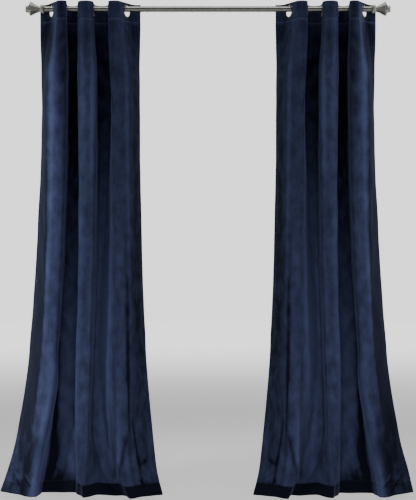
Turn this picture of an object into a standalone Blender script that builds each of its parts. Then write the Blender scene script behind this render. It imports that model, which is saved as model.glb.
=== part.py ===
"""Pair of velvet eyelet curtains hanging on a 1-inch metal rod with faceted finials.

The origin is on the rod's axis, midway between the finials. +X runs along the rod, +Z is
up, and +Y points to the wall behind the curtains. Both panels are cut and folded alike and
mirror each other about the middle of the rod, but their hems hang a little differently.

A panel keeps its cloth's true size wherever it is folded: across, every section is as long
as the cloth is wide, and down, every thread is as long as the cloth is.
"""

import math

import bmesh
import bpy
import numpy as np

# Cloth
PANEL_WIDTH = 0.965
PANEL_LENGTH = 2.134
CLOTH_THICKNESS = 0.002
HEADER_TOP = 0.026  # the header's top edge above the rod's axis
HEADER_BAND = 0.077  # depth of the turned header, which hangs stiff and straight
SETTLE_BAND = 0.250  # below the header, the free folds take over within this much cloth
FOLD_ROUNDING = 0.044  # cloth that turns at a fold's corner, under the header
HEM_ROUNDING = 0.016  # the same at the hem, where the folds are sharper

# Eyelet rings
EYELET_STEP = 0.162  # along the cloth, from one eyelet to the next
EYELET_HOLE = 0.023
EYELET_FLANGE = 0.030
EYELET_WALL = 0.0015  # the ring's bore wall, which passes through the cloth
EYELET_HALF_DEPTH = 0.0027
EYELET_BEVEL = 0.001  # the flanges are this much smaller at their faces
HOLE_REACH = 0.015  # the hole cutter passes this far to each side of the cloth
EYELET_SIDES = 16
FLAT_REACH = 0.0305  # the cloth is flat this far to each side of an eyelet's centre

# Rod and finials
ROD_RADIUS = 0.0127
ROD_WALL = 0.0012
ROD_SIDES = 24
ROD_HALF_LENGTH = 0.705
SPIGOT_LENGTH = 0.030
SPIGOT_CHAMFER = 0.001
FINIAL_SIDES = 8

GAP = 0.0003  # clearance between pieces that touch
ASKEW_ROOM = 0.0003  # more clearance over the rod for the rings that stand askew on it

# Eyelets from the panel's outer edge to its inner edge: distance out from the middle of the
# rod, and the angle in degrees that the cloth there makes with the rod
EYELETS = (
    (0.676, 60),
    (0.611, 94),
    (0.562, 82),
    (0.494, 90),
    (0.430, 86),
    (0.350, 60),
)
# Angle in degrees of the cloth with the rod, at the header's outer and inner edges
EDGE_ANGLES = (6, -18)

# Corners of the zigzag that a level section of the panel follows, from the outer edge to the
# inner edge. A row gives each corner's distance out from the middle of the rod, at a drop
# below the rod's axis. A fold and a gap have two corners each.
SECTIONS = (
    # drop, outer edge, fold 1, gap 1, fold 2, gap 2, fold 3, inner edge
    (0.150, 0.727, 0.682, 0.605, 0.606, 0.560, 0.559, 0.483, 0.483, 0.424, 0.423, 0.338, 0.298),
    (0.390, 0.724, 0.688, 0.608, 0.608, 0.560, 0.558, 0.482, 0.482, 0.420, 0.414, 0.337, 0.297),
    (0.820, 0.735, 0.690, 0.616, 0.614, 0.556, 0.552, 0.483, 0.481, 0.440, 0.404, 0.337, 0.293),
    (1.250, 0.760, 0.698, 0.634, 0.636, 0.560, 0.552, 0.494, 0.488, 0.472, 0.380, 0.338, 0.281),
    (1.680, 0.802, 0.725, 0.668, 0.671, 0.574, 0.562, 0.507, 0.500, 0.468, 0.388, 0.341, 0.256),
    (1.896, 0.842, 0.743, 0.714, 0.695, 0.577, 0.555, 0.515, 0.492, 0.430, 0.388, 0.345, 0.234),
    (2.003, 0.870, 0.750, 0.730, 0.708, 0.577, 0.545, 0.522, 0.455, 0.402, 0.376, 0.346, 0.221),
)
HEM_DROP = PANEL_LENGTH - HEADER_TOP
HEM_SECTIONS = {
    "left": (HEM_DROP,)
    + (0.905, 0.747, 0.735, 0.727, 0.577, 0.531, 0.517, 0.392, 0.370, 0.331, 0.317, 0.195),
    "right": (HEM_DROP,)
    + (0.895, 0.746, 0.735, 0.720, 0.573, 0.534, 0.519, 0.384, 0.362, 0.340, 0.328, 0.195),
}
# How far each corner stands back from the rod's line, as a share of the folds' half depth:
# -1 is the front of a fold and 1 is the back of a gap
SETBACKS = (
    # drop, outer edge, fold 1, gap 1, fold 2, gap 2, fold 3, inner edge
    (0.150, 0.85, -1, -1, 1, 1, -1, -1, 1, 1, -1, -1, 0.80),
    (1.250, 0.85, -1, -1, 1, 1, -1, -1, 0.9, 0.9, -1, -1, 0.80),
    (1.896, 0.85, -1, -1, 1, 1, -1, -1, 0.6, 0.6, -1, -1, 0.60),
    (HEM_DROP, 0.75, -0.95, -0.9, 1, 1, -1.2, -1.1, 0.1, 0.1, -0.9, -0.85, 0.25),
)

# Finial outside the rod: distance out from the rod's end, and distance from axis to flats
FINIAL = (
    (0.0003, 0.0127),
    (0.0062, 0.0193),
    (0.0150, 0.0125),
    (0.0205, 0.0113),
    (0.0240, 0.0118),
    (0.0590, 0.0305),
    (0.0628, 0.0300),
    (0.0650, 0.0225),
    (0.0690, 0.0190),
    (0.0702, 0.0145),
    (0.0812, 0.0145),
    (0.0826, 0.0125),
)

# Mesh steps
FLAT_STEPS = 2  # columns of cloth from an eyelet's centre to the end of its flat
BEND_STEPS = 7  # columns in the bend between two eyelets' flats
EDGE_STEPS = 3  # columns from the last flat to the panel's edge
CLOTH_LEVELS = (0.135, 0.200, 0.300, 0.450, 0.700, 1.000, 1.280, 1.530, 1.730, 1.880, 1.990, 2.070)
FINE = 0.0005  # step along the cloth when a section's shape is worked out
HALF_DEPTHS = (0.03, 0.12)  # the folds' half depth is looked for between these
HALVINGS = 24
METAL_SHARP_ANGLE = math.radians(30)
CLOTH_SHARP_ANGLE = math.radians(60)

EDGE_MARGIN = (PANEL_WIDTH - (len(EYELETS) - 1) * EYELET_STEP) / 2
ROD_FLAT = ROD_RADIUS * math.cos(math.pi / ROD_SIDES)
EYELET_DROP = EYELET_HOLE * math.cos(math.pi / EYELET_SIDES) - ROD_FLAT - GAP - ASKEW_ROOM


def at_drop(table, drop):
    """Row of a table at a drop, on a smooth cubic through the table's rows."""
    table = np.array(table, dtype=float)
    knots, rows = table[:, 0], table[:, 1:]
    slopes = np.gradient(rows, knots, axis=0)
    drop = np.clip(drop, knots[0], knots[-1])
    low = min(int(np.searchsorted(knots, drop, side="right")) - 1, len(knots) - 2)
    step = knots[low + 1] - knots[low]
    t = (drop - knots[low]) / step
    blend = smooth_step(t)
    start_pull = step * (t**3 - 2 * t**2 + t) * slopes[low]
    end_pull = step * (t**3 - t**2) * slopes[low + 1]
    return rows[low] * (1 - blend) + rows[low + 1] * blend + start_pull + end_pull


def smooth_step(t):
    """From 0 to 1 with level ends."""
    t = np.clip(t, 0, 1)
    return t * t * (3 - 2 * t)


def running_total(rate, along):
    """Sum of a rate over a distance, from zero at its start."""
    middles = (rate[1:] + rate[:-1]) / 2
    return np.concatenate([[0], np.cumsum(middles * np.diff(along))])


def eyelet_bend(eyelet, next_eyelet):
    """First straight, radius and last straight of the cloth from one eyelet to the next.

    The cloth leaves an eyelet at its angle, turns on one arc and meets the next eyelet at
    that one's angle. The three lengths follow from what is known: the distance along the
    rod, no distance across it, and the cloth's own length.
    """
    (out, angle), (next_out, next_angle) = eyelet, next_eyelet
    a, b = math.radians(angle), math.radians(next_angle)
    known = (
        (math.cos(a), math.sin(a) + math.sin(b), math.cos(b)),
        (-math.sin(a), math.cos(a) - math.cos(b), math.sin(b)),
        (1, a + b, 1),
    )
    return np.linalg.solve(known, (out - next_out, 0, EYELET_STEP))


def header_plan(cloth):
    """Inward and backward place of the header at distances along the cloth.

    The header's section is made of straights and arcs, so its angle is a broken line along
    the cloth. The place is the running total of the angle's cosine and sine.
    """
    ends = [0, EDGE_MARGIN - FLAT_REACH]
    angles = [EDGE_ANGLES[0], -EYELETS[0][1]]
    facing = -1
    for number, (eyelet, next_eyelet) in enumerate(zip(EYELETS, EYELETS[1:])):
        straight, radius, last_straight = eyelet_bend(eyelet, next_eyelet)
        start = EDGE_MARGIN + number * EYELET_STEP
        ends += [start + straight, start + EYELET_STEP - last_straight]
        angles += [facing * eyelet[1], -facing * next_eyelet[1]]
        facing = -facing
    ends += [PANEL_WIDTH - EDGE_MARGIN + FLAT_REACH, PANEL_WIDTH]
    angles += [facing * EYELETS[-1][1], EDGE_ANGLES[1]]

    along = np.linspace(0, PANEL_WIDTH, round(PANEL_WIDTH / FINE) + 1)
    angle = np.radians(np.interp(along, ends, angles))
    inward = running_total(np.cos(angle), along)
    back = running_total(np.sin(angle), along)
    inward -= np.interp(EDGE_MARGIN, along, inward) + EYELETS[0][0]
    back -= np.interp(EDGE_MARGIN, along, back)
    return np.interp(cloth, along, inward), np.interp(cloth, along, back)


def rounded_zigzag(corners, rounding):
    """A zigzag with its corners rounded: each point is its mean over a length of line.

    The mean is the difference of two running totals. The ends are first made longer by
    half that length, so that they stay where they are.
    """
    half = rounding / 2
    heads = corners[[0, -1]] - corners[[1, -2]]
    heads *= half / np.linalg.norm(heads, axis=1, keepdims=True)
    points = np.vstack([corners[0] + heads[0], corners[1:-1], corners[-1] + heads[1]])
    ends = np.concatenate([[0], np.cumsum(np.linalg.norm(np.diff(points, axis=0), axis=1))])
    along = np.linspace(0, ends[-1], round(ends[-1] / FINE))
    centres = np.linspace(half, ends[-1] - half, round(ends[-1] / FINE))
    means = []
    for values in points.T:
        total = running_total(np.interp(along, ends, values), along)
        ahead = np.interp(centres + half, along, total)
        behind = np.interp(centres - half, along, total)
        means.append((ahead - behind) / rounding)
    return means


def fold_plan(drop, side, cloth):
    """Inward and backward place of the free folds at distances along the cloth.

    The folds' half depth is halved in on until the section is as long as the cloth is wide.
    """
    outs = at_drop(SECTIONS + (HEM_SECTIONS[side],), drop)
    shares = at_drop(SETBACKS, drop)
    rounding = np.interp(drop, (HEADER_BAND, PANEL_LENGTH), (FOLD_ROUNDING, HEM_ROUNDING))
    low, high = HALF_DEPTHS
    for _ in range(HALVINGS):
        depth = (low + high) / 2
        inward, back = rounded_zigzag(np.column_stack([-outs, shares * depth]), rounding)
        steps = np.hypot(np.diff(inward), np.diff(back))
        along = np.concatenate([[0], np.cumsum(steps)])
        low, high = (depth, high) if along[-1] < PANEL_WIDTH else (low, depth)
    return np.interp(cloth, along, inward), np.interp(cloth, along, back)


def panel_points(side, cloth, levels):
    """Middle surface of a panel: a row of points at each level down the cloth.

    Header and free folds are blended below the header band. A thread that drifts sideways
    on its way down hangs less low, so each step down is what its length leaves.
    """
    direction = 1 if side == "left" else -1
    head_in, head_back = header_plan(cloth)
    rows = []
    for level in levels:
        free = smooth_step((level - HEADER_BAND) / SETTLE_BAND)
        fold_in, fold_back = fold_plan(level - HEADER_TOP, side, cloth)
        inward = head_in * (1 - free) + fold_in * free
        back = head_back * (1 - free) + fold_back * free
        rows.append(np.column_stack([direction * inward, back]))
    plan = np.array(rows)
    drift = np.linalg.norm(np.diff(plan, axis=0), axis=2)
    steps = np.sqrt(np.diff(levels)[:, None] ** 2 - drift**2)
    height = HEADER_TOP - np.vstack([np.zeros(len(cloth)), np.cumsum(steps, axis=0)])
    return np.dstack([plan, height])


def mesh_object(name, points, faces, material):
    """An object from points and faces, with its faces turned outwards."""
    mesh = bpy.data.meshes.new(name)
    mesh.from_pydata([tuple(point) for point in points], [], faces)
    build = bmesh.new()
    build.from_mesh(mesh)
    bmesh.ops.recalc_face_normals(build, faces=build.faces)
    build.to_mesh(mesh)
    build.free()
    mesh.materials.append(material)
    item = bpy.data.objects.new(name, mesh)
    bpy.context.scene.collection.objects.link(item)
    return item


def tube_faces(rings, sides, closed):
    """Quads between rings of points, numbered ring by ring; closed joins last to first."""
    pairs = [(ring, (ring + 1) % rings) for ring in range(rings if closed else rings - 1)]
    return [
        (low * sides + side, low * sides + after, high * sides + after, high * sides + side)
        for low, high in pairs
        for side, after in ((side, (side + 1) % sides) for side in range(sides))
    ]


def turned(name, profile, sides, material, closed):
    """A profile of (distance along X, radius at the corners) turned about X.

    The sides stand level at the top and bottom. An open profile has its two ends capped.
    """
    turns = (np.arange(sides) + 0.5) * 2 * math.pi / sides
    points = [
        (along, radius * math.sin(turn), radius * math.cos(turn))
        for along, radius in profile
        for turn in turns
    ]
    faces = tube_faces(len(profile), sides, closed)
    if not closed:
        first_end = tuple(range(sides))
        last_end = tuple(range((len(profile) - 1) * sides, len(profile) * sides))
        faces += [first_end, last_end]
    item = mesh_object(name, points, faces, material)
    item.data.shade_smooth()
    item.data.set_sharp_from_angle(angle=METAL_SHARP_ANGLE)
    return item


def cloth_columns():
    """Distances across the cloth of the mesh's columns, with whole columns on each flat."""
    stops = [0]
    for number in range(len(EYELETS)):
        centre = EDGE_MARGIN + number * EYELET_STEP
        stops += [centre - FLAT_REACH, centre, centre + FLAT_REACH]
    stops.append(PANEL_WIDTH)
    inner = ([FLAT_STEPS, FLAT_STEPS, BEND_STEPS] * len(EYELETS))[:-1]
    counts = [EDGE_STEPS] + inner + [EDGE_STEPS]
    pieces = [
        np.linspace(start, stop, count, endpoint=False)
        for start, stop, count in zip(stops, stops[1:], counts)
    ]
    return np.concatenate(pieces + [[PANEL_WIDTH]])


def panel(side, material):
    """A panel of cloth as one closed sheet, cut through for its eyelets."""
    name = f"curtain_{side}"
    cloth = cloth_columns()
    levels = np.array((0, HEADER_BAND) + CLOTH_LEVELS + (PANEL_LENGTH,))
    middle = panel_points(side, cloth, levels)
    across, down = np.gradient(middle, axis=1), np.gradient(middle, axis=0)
    normals = np.cross(across, down)
    normals *= CLOTH_THICKNESS / 2 / np.linalg.norm(normals, axis=2, keepdims=True)
    points = np.vstack([(middle - normals).reshape(-1, 3), (middle + normals).reshape(-1, 3)])

    rows, columns = middle.shape[:2]
    skins = np.arange(2 * rows * columns).reshape(2, rows, columns)
    faces = []
    for skin in skins:
        corners = (skin[:-1, :-1], skin[:-1, 1:], skin[1:, 1:], skin[1:, :-1])
        faces += np.stack(corners, axis=-1).reshape(-1, 4).tolist()
    edges = (skins[:, 0, :], skins[:, -1, :], skins[:, :, 0], skins[:, :, -1])
    for front, behind in edges:
        corners = (front[:-1], front[1:], behind[1:], behind[:-1])
        faces += np.stack(corners, axis=-1).tolist()
    item = mesh_object(name, points, faces, material)
    item.data.shade_smooth()
    item.data.set_sharp_from_angle(angle=CLOTH_SHARP_ANGLE)

    hole_radius = EYELET_HOLE + EYELET_WALL + GAP
    hole_profile = ((-HOLE_REACH, hole_radius), (HOLE_REACH, hole_radius))
    for number in range(len(EYELETS)):
        hole_name = f"{name}_hole_{number + 1}"
        cutter = turned(hole_name, hole_profile, EYELET_SIDES, material, closed=False)
        place_eyelet(cutter, side, number)
        cutter.hide_render = True
        cutter.display_type = "WIRE"
        hole = item.modifiers.new(f"eyelet {number + 1}", "BOOLEAN")
        hole.operation = "DIFFERENCE"
        hole.object = cutter
    return item


def place_eyelet(item, side, number):
    """Put a piece that is modelled about X at an eyelet, square to the cloth."""
    out, angle = EYELETS[number]
    direction = 1 if side == "left" else -1
    facing = -1 if number % 2 == 0 else 1
    item.location = (-direction * out, 0, -EYELET_DROP)
    item.rotation_euler = (0, 0, direction * facing * math.radians(angle) + math.pi / 2)


def eyelet(side, number, material):
    """A ring with a flange on each face of the cloth and its bore wall between them."""
    groove = CLOTH_THICKNESS / 2 + GAP
    profile = (
        (-EYELET_HALF_DEPTH, EYELET_HOLE),
        (-EYELET_HALF_DEPTH, EYELET_FLANGE - EYELET_BEVEL),
        (-groove, EYELET_FLANGE),
        (-groove, EYELET_HOLE + EYELET_WALL),
        (groove, EYELET_HOLE + EYELET_WALL),
        (groove, EYELET_FLANGE),
        (EYELET_HALF_DEPTH, EYELET_FLANGE - EYELET_BEVEL),
        (EYELET_HALF_DEPTH, EYELET_HOLE),
    )
    name = f"eyelet_{side}_{number + 1}"
    item = turned(name, profile, EYELET_SIDES, material, closed=True)
    place_eyelet(item, side, number)


def rod(material):
    """A plain tube, open at both ends."""
    inner = ROD_RADIUS - ROD_WALL
    profile = (
        (-ROD_HALF_LENGTH, ROD_RADIUS),
        (ROD_HALF_LENGTH, ROD_RADIUS),
        (ROD_HALF_LENGTH, inner),
        (-ROD_HALF_LENGTH, inner),
    )
    turned("rod", profile, ROD_SIDES, material, closed=True)


def finial(side, material):
    """A faceted finial with a spigot that plugs the end of the rod."""
    bore = (ROD_RADIUS - ROD_WALL) * math.cos(math.pi / ROD_SIDES)
    spigot = bore - GAP
    to_corner = 1 / math.cos(math.pi / FINIAL_SIDES)
    profile = [
        (-SPIGOT_LENGTH, spigot - SPIGOT_CHAMFER),
        (-SPIGOT_LENGTH + SPIGOT_CHAMFER, spigot),
        (FINIAL[0][0], spigot),
    ]
    profile += [(out, flat * to_corner) for out, flat in FINIAL]
    item = turned(f"finial_{side}", profile, FINIAL_SIDES, material, closed=False)
    direction = -1 if side == "left" else 1
    item.location = (direction * ROD_HALF_LENGTH, 0, 0)
    item.rotation_euler = (0, 0, math.pi if side == "left" else 0)


def finish(name, color, roughness, metallic):
    """A Principled material."""
    material = bpy.data.materials.new(name)
    material.use_nodes = True
    shader = material.node_tree.nodes["Principled BSDF"]
    shader.inputs["Base Color"].default_value = (*color, 1)
    shader.inputs["Roughness"].default_value = roughness
    shader.inputs["Metallic"].default_value = metallic
    return material


def main():
    """Clear the scene and build every piece."""
    for item in list(bpy.data.objects):
        bpy.data.objects.remove(item, do_unlink=True)
    velvet = finish("navy velvet", color=(0.022, 0.030, 0.072), roughness=0.9, metallic=0)
    pewter = finish("pewter", color=(0.16, 0.16, 0.15), roughness=0.38, metallic=1)
    rod(pewter)
    for side in ("left", "right"):
        finial(side, pewter)
        panel(side, velvet)
        for number in range(len(EYELETS)):
            eyelet(side, number, pewter)


main()
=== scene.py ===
"""Looks of a pair of velvet eyelet curtains that hang on a metal rod with faceted finials.

Lengths are in metres and the frame is the part's own: the origin is on the rod's axis, midway
between the finials, +X runs along the rod, +Z is up and +Y points to the wall. The cloth
hangs on the same sizes and tables as the solid panels, on a finer grid, with its seams,
creases and crushed pile, and with light and shade painted into its colour. A distance across
runs over the cloth from a panel's outer edge to its inner edge, and a distance down from its
top edge to its hem.
"""

import math

import bpy
import numpy as np
from bpy.props import FloatProperty, FloatVectorProperty, IntProperty, PointerProperty
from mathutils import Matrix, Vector


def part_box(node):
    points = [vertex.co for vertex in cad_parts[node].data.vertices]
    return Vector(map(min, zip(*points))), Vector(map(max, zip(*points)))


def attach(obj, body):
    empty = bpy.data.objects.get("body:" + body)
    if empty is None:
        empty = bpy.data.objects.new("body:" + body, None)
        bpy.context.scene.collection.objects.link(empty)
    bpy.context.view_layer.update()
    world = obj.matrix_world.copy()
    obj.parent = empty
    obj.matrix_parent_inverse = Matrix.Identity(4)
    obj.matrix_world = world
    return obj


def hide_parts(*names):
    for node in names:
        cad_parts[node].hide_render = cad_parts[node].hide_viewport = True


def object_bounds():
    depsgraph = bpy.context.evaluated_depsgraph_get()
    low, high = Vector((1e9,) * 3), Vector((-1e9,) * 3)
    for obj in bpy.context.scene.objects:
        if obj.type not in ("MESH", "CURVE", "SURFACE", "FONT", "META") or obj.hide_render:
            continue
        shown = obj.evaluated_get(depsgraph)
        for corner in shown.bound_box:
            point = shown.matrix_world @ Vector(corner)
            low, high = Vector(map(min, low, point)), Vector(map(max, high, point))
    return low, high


bl_info = {
    "name": "Velvet eyelet curtains",
    "version": (1, 0, 0),
    "blender": (4, 5, 0),
    "location": "3D View > Sidebar > Curtains",
    "description": "Makes a pair of velvet eyelet curtains on their rod, with a plain stage",
    "category": "Add Mesh",
}

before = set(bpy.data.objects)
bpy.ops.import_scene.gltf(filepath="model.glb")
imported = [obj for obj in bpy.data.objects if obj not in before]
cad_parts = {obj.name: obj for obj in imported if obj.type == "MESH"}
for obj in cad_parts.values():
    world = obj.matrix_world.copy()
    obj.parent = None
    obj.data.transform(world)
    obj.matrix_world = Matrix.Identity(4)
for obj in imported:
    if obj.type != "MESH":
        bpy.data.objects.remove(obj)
CAD_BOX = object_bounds()

# Cloth, as the solid panels have it
PANEL_WIDTH = 0.965
PANEL_LENGTH = 2.134
HALF_THICKNESS = 0.001
HEADER_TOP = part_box("curtain_left")[1].z
HEADER_BAND = 0.077
SETTLE_BAND = 0.250  # below the header band, where its plan gives way to the free folds
FOLD_ROUNDING = 0.044
HEM_ROUNDING = 0.016

# Eyelet rings and the rod they hang on
EYELET_STEP = 0.162
EYELET_HOLE = 0.023
EYELET_FLANGE = 0.030
EYELET_WALL = 0.0015
EYELET_HALF_DEPTH = 0.0027
EYELET_DROP = -(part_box("eyelet_left_1")[0].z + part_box("eyelet_left_1")[1].z) / 2
DOME_POINTS = 13
DOME_POWER = 0.8  # below 1, so an eyelet's faces are fuller than half an ellipse
FLAT_REACH = 0.0305  # of flat cloth to each side of an eyelet's centre
EASE_WIDTH = 0.012  # over which flat cloth turns creased, and over which the hem's shade changes
ROD_RADIUS = 0.0127
ROD_WALL = 0.0012
ROD_SIDES = 24  # of the solid rod, whose bore is a little narrower over its flats
ROD_RINGS = 25
ROD_HALF_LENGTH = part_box("rod")[1].x
SPIGOT_LENGTH = 0.030
SPIGOT_LEAD = 0.001  # length of the spigot's tapered end
SPIGOT_TAPER = 0.7  # share of the spigot's radius at that end
FINIAL_SIDES = 8
GAP = 0.0003

# Eyelets from the outer edge inwards: distance out from the middle of the rod, and the angle
# in degrees that the cloth there makes with the rod
EYELETS = (
    (0.676, 60),
    (0.611, 94),
    (0.562, 82),
    (0.494, 90),
    (0.430, 86),
    (0.350, 60),
)
EDGE_ANGLES = (6, -18)  # of the cloth's outer and inner edges
EDGE_MARGIN = (PANEL_WIDTH - (len(EYELETS) - 1) * EYELET_STEP) / 2

# Corners of the zigzag that a level section of a panel follows: each corner's distance out
# from the middle of the rod, at a drop below the rod's axis. Folds and gaps have two each.
SECTIONS = (
    # drop, outer edge, fold 1, gap 1, fold 2, gap 2, fold 3, inner edge
    (0.150, 0.727, 0.682, 0.605, 0.606, 0.560, 0.559, 0.483, 0.483, 0.424, 0.423, 0.338, 0.298),
    (0.390, 0.724, 0.688, 0.608, 0.608, 0.560, 0.558, 0.482, 0.482, 0.420, 0.414, 0.337, 0.297),
    (0.820, 0.735, 0.690, 0.616, 0.614, 0.556, 0.552, 0.483, 0.481, 0.440, 0.404, 0.337, 0.293),
    (1.250, 0.760, 0.698, 0.634, 0.636, 0.560, 0.552, 0.494, 0.488, 0.472, 0.380, 0.338, 0.281),
    (1.680, 0.802, 0.725, 0.668, 0.671, 0.574, 0.562, 0.507, 0.500, 0.468, 0.388, 0.341, 0.256),
    (1.896, 0.842, 0.743, 0.714, 0.695, 0.577, 0.555, 0.515, 0.492, 0.430, 0.388, 0.345, 0.234),
    (2.003, 0.870, 0.750, 0.730, 0.708, 0.577, 0.545, 0.522, 0.455, 0.402, 0.376, 0.346, 0.221),
)
HEM_DROP = PANEL_LENGTH - HEADER_TOP
HEM_SECTIONS = {
    "left": (HEM_DROP,)
    + (0.905, 0.747, 0.735, 0.727, 0.577, 0.531, 0.517, 0.392, 0.370, 0.331, 0.317, 0.195),
    "right": (HEM_DROP,)
    + (0.895, 0.746, 0.735, 0.720, 0.573, 0.534, 0.519, 0.384, 0.362, 0.340, 0.328, 0.195),
}
# How far each corner stands back, as a share of the folds' half depth: -1 front, 1 back
SETBACKS = (
    # drop, outer edge, fold 1, gap 1, fold 2, gap 2, fold 3, inner edge
    (0.150, 0.85, -1, -1, 1, 1, -1, -1, 1, 1, -1, -1, 0.80),
    (1.250, 0.85, -1, -1, 1, 1, -1, -1, 0.9, 0.9, -1, -1, 0.80),
    (1.896, 0.85, -1, -1, 1, 1, -1, -1, 0.6, 0.6, -1, -1, 0.60),
    (HEM_DROP, 0.75, -0.95, -0.9, 1, 1, -1.2, -1.1, 0.1, 0.1, -0.9, -0.85, 0.25),
)
FINE = 0.0005  # step along the cloth in which its plans are worked out
HALF_DEPTHS = (0.03, 0.12)  # the folds' half depth is sought between these two
HALVINGS = 24

# Sewing
SIDE_HEM = 0.022  # from a side edge to its stitches
BOTTOM_HEM = 0.052  # from the hem's edge to its stitches
SEAM_HALF_WIDTH = 0.0022
STITCH_PITCH = 0.0036
STITCH_LENGTH = 0.0027
STITCH_RADIUS = 0.00032
STITCH_RINGS = ((0, 0.45), (0.5, 1), (1, 0.45))  # share of its length, share of its radius
STITCH_LIFT = 0.4  # share of its radius by which a stitch stands out of the trough

# Grid of a panel
CELL = 0.0048  # width of a column between the eyelets
SQUARE_CELLS = 8  # cells from an eyelet's centre to the side of its square
HOLE_CELLS = 5  # cells from an eyelet's centre that are cut away
SEAM_ROWS = 5
BODY_ROW = 0.0109
HEM_ROW = 0.0058
HEM_ZONE = 1.930  # from here down, the rows are closer
EYELET_DOWN = HEADER_TOP + EYELET_DROP

# Fullness of each free fold: the cloth bows out by a squared cosine across its crest
CRESTS = (
    # across, height
    (0.1585, 0.0070),
    (0.4825, 0.0040),
    (0.8065, 0.0025),
)
CREST_HALF_WIDTH = 0.045
# Soft swells of the hanging cloth
SWELLS = (
    # height, pitch across, pitch down, shift across, shift down (shifts in turns)
    (0.0012, 0.160, 0.450, 0.13, 0.20),
    (0.0008, 0.110, 0.300, 0.55, 0.71),
)
SWELL_BEND = 0.25  # of a turn, by which a swell wanders across
SWELL_BEND_PITCH = 1.7  # of a swell's pitches down, in which it wanders out and back once
# Creases in the cloth: a line from start to end, its half width and its height, with
# ridges above zero and troughs below
CREASES = (
    # across, down, to across, to down, half width, height
    (0.150, 0.085, 0.152, 0.310, 0.0060, 0.0015),
    (0.088, 0.004, 0.158, 0.060, 0.0040, 0.0018),
    (0.098, 0.004, 0.168, 0.056, 0.0040, -0.0018),
    (0.158, 0.080, 0.170, 0.105, 0.0045, 0.0014),
    (0.877, 0.004, 0.807, 0.060, 0.0040, 0.0016),
    (0.867, 0.004, 0.797, 0.056, 0.0040, -0.0016),
    (0.806, 0.085, 0.798, 0.300, 0.0060, 0.0013),
    (0.478, 0.085, 0.484, 0.340, 0.0060, 0.0012),
    (0.205, 1.450, 0.240, 2.130, 0.0350, 0.0130),
    (0.478, 1.250, 0.470, 2.060, 0.0130, 0.0022),
    (0.600, 1.560, 0.612, 2.110, 0.0100, -0.0030),
    (0.655, 1.560, 0.668, 2.120, 0.0110, 0.0030),
    (0.738, 1.820, 0.703, 2.125, 0.0110, -0.0070),
    (0.796, 1.650, 0.780, 2.110, 0.0110, 0.0075),
    (0.844, 1.580, 0.838, 1.920, 0.0070, -0.0060),
    (0.843, 1.800, 0.757, 2.115, 0.0080, -0.0080),
    (0.850, 1.740, 0.886, 2.040, 0.0065, -0.0070),
    (0.884, 1.940, 0.884, 2.125, 0.0065, -0.0070),
    (0.815, 1.900, 0.832, 2.110, 0.0110, 0.0040),
    (0.188, 1.700, 0.206, 2.140, 0.0140, 0.0090),
)
CREASE_PARTS = 3  # a crease rises over the first of so many even parts, and falls over the last
PAINTED_CREASE_SHADE = 50  # painted highlight on a ridge and painted shade in a trough, for each metre of its height
# Short slanted puckers where cloth is caught: the side hems low down, and the bottom hem
PUCKERS = (
    # across, down, to across, to down, half width, height
    (0.930, 1.970, 0.880, 2.004, 0.0055, -0.0055),
    (0.918, 1.950, 0.884, 1.975, 0.0050, 0.0040),
    (0.870, 2.055, 0.900, 2.095, 0.0055, -0.0055),
    (0.885, 2.040, 0.925, 2.070, 0.0050, 0.0040),
    (0.748, 2.100, 0.790, 2.130, 0.0030, 0.0025),
    (0.110, 2.030, 0.160, 2.066, 0.0060, 0.0045),
    (0.120, 2.056, 0.176, 2.094, 0.0060, -0.0045),
    (0.160, 2.040, 0.210, 2.104, 0.0065, 0.0045),
    (0.060, 2.062, 0.110, 2.100, 0.0060, -0.0045),
    (0.040, 2.030, 0.090, 2.066, 0.0060, 0.0040),
    (0.320, 2.010, 0.352, 2.046, 0.0070, -0.0030),
    (0.492, 2.030, 0.530, 2.068, 0.0070, 0.0030),
)
# Tension creases that fan out below each eyelet
FANS = (
    # lean across, length, height
    (-0.016, 0.110, -0.0009),
    (0.010, 0.150, -0.0011),
)
FAN_HALF_WIDTH = 0.0060
# Patches of pile tone, lighter above zero and darker below: some are crushed pile, most are painted
# light and shade, such as shade on the outer flap and in the gaps' corners
CRUSH_AND_PAINTED_LIGHT_STROKES = (
    # across, down, half width, half length, change
    (0.050, 0.600, 0.055, 0.750, -0.90),
    (0.050, 1.400, 0.070, 0.400, -0.85),
    (0.060, 1.850, 0.075, 0.250, -0.30),
    (0.125, 2.030, 0.032, 0.130, -0.50),
    (0.186, 2.060, 0.020, 0.110, 1.40),
    (0.915, 0.900, 0.050, 1.100, -0.45),
    (0.320, 0.450, 0.070, 0.550, -0.50),
    (0.345, 1.600, 0.050, 0.380, 0.25),
    (0.360, 2.070, 0.060, 0.035, -0.50),
    (0.645, 0.350, 0.070, 0.450, -0.40),
    (0.700, 1.300, 0.080, 0.650, 0.60),
    (0.125, 0.300, 0.014, 0.350, 0.50),
    (0.130, 1.050, 0.012, 0.450, 0.40),
    (0.165, 1.700, 0.016, 0.300, 0.15),
    (0.108, 0.045, 0.022, 0.060, 0.60),
    (0.160, 0.040, 0.018, 0.050, -0.30),
    (0.175, 0.350, 0.020, 0.250, -0.25),
    (0.165, 0.190, 0.030, 0.100, -0.20),
    (0.460, 0.300, 0.012, 0.300, 0.40),
    (0.470, 1.300, 0.020, 0.600, 0.25),
    (0.507, 0.400, 0.011, 0.280, 0.80),
    (0.484, 0.160, 0.035, 0.100, -0.25),
    (0.095, 1.150, 0.024, 0.400, -0.60),
    (0.180, 1.600, 0.012, 0.250, -0.20),
    (0.293, 1.780, 0.013, 0.260, -0.90),
    (0.312, 1.990, 0.015, 0.090, -0.90),
    (0.770, 1.400, 0.017, 0.550, -0.15),
    (0.775, 0.450, 0.022, 0.600, -0.05),
    (0.848, 0.600, 0.010, 0.700, 0.45),
    (0.838, 1.450, 0.009, 0.350, -0.60),
)
NAP_WEIGHTS = (1.0, 0.3, 0.15)  # of the noise in blotches, in streaks and in the pile itself
SEAM_SHADE = 0.5  # pressed pile along the header's seam, which catches the light
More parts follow.
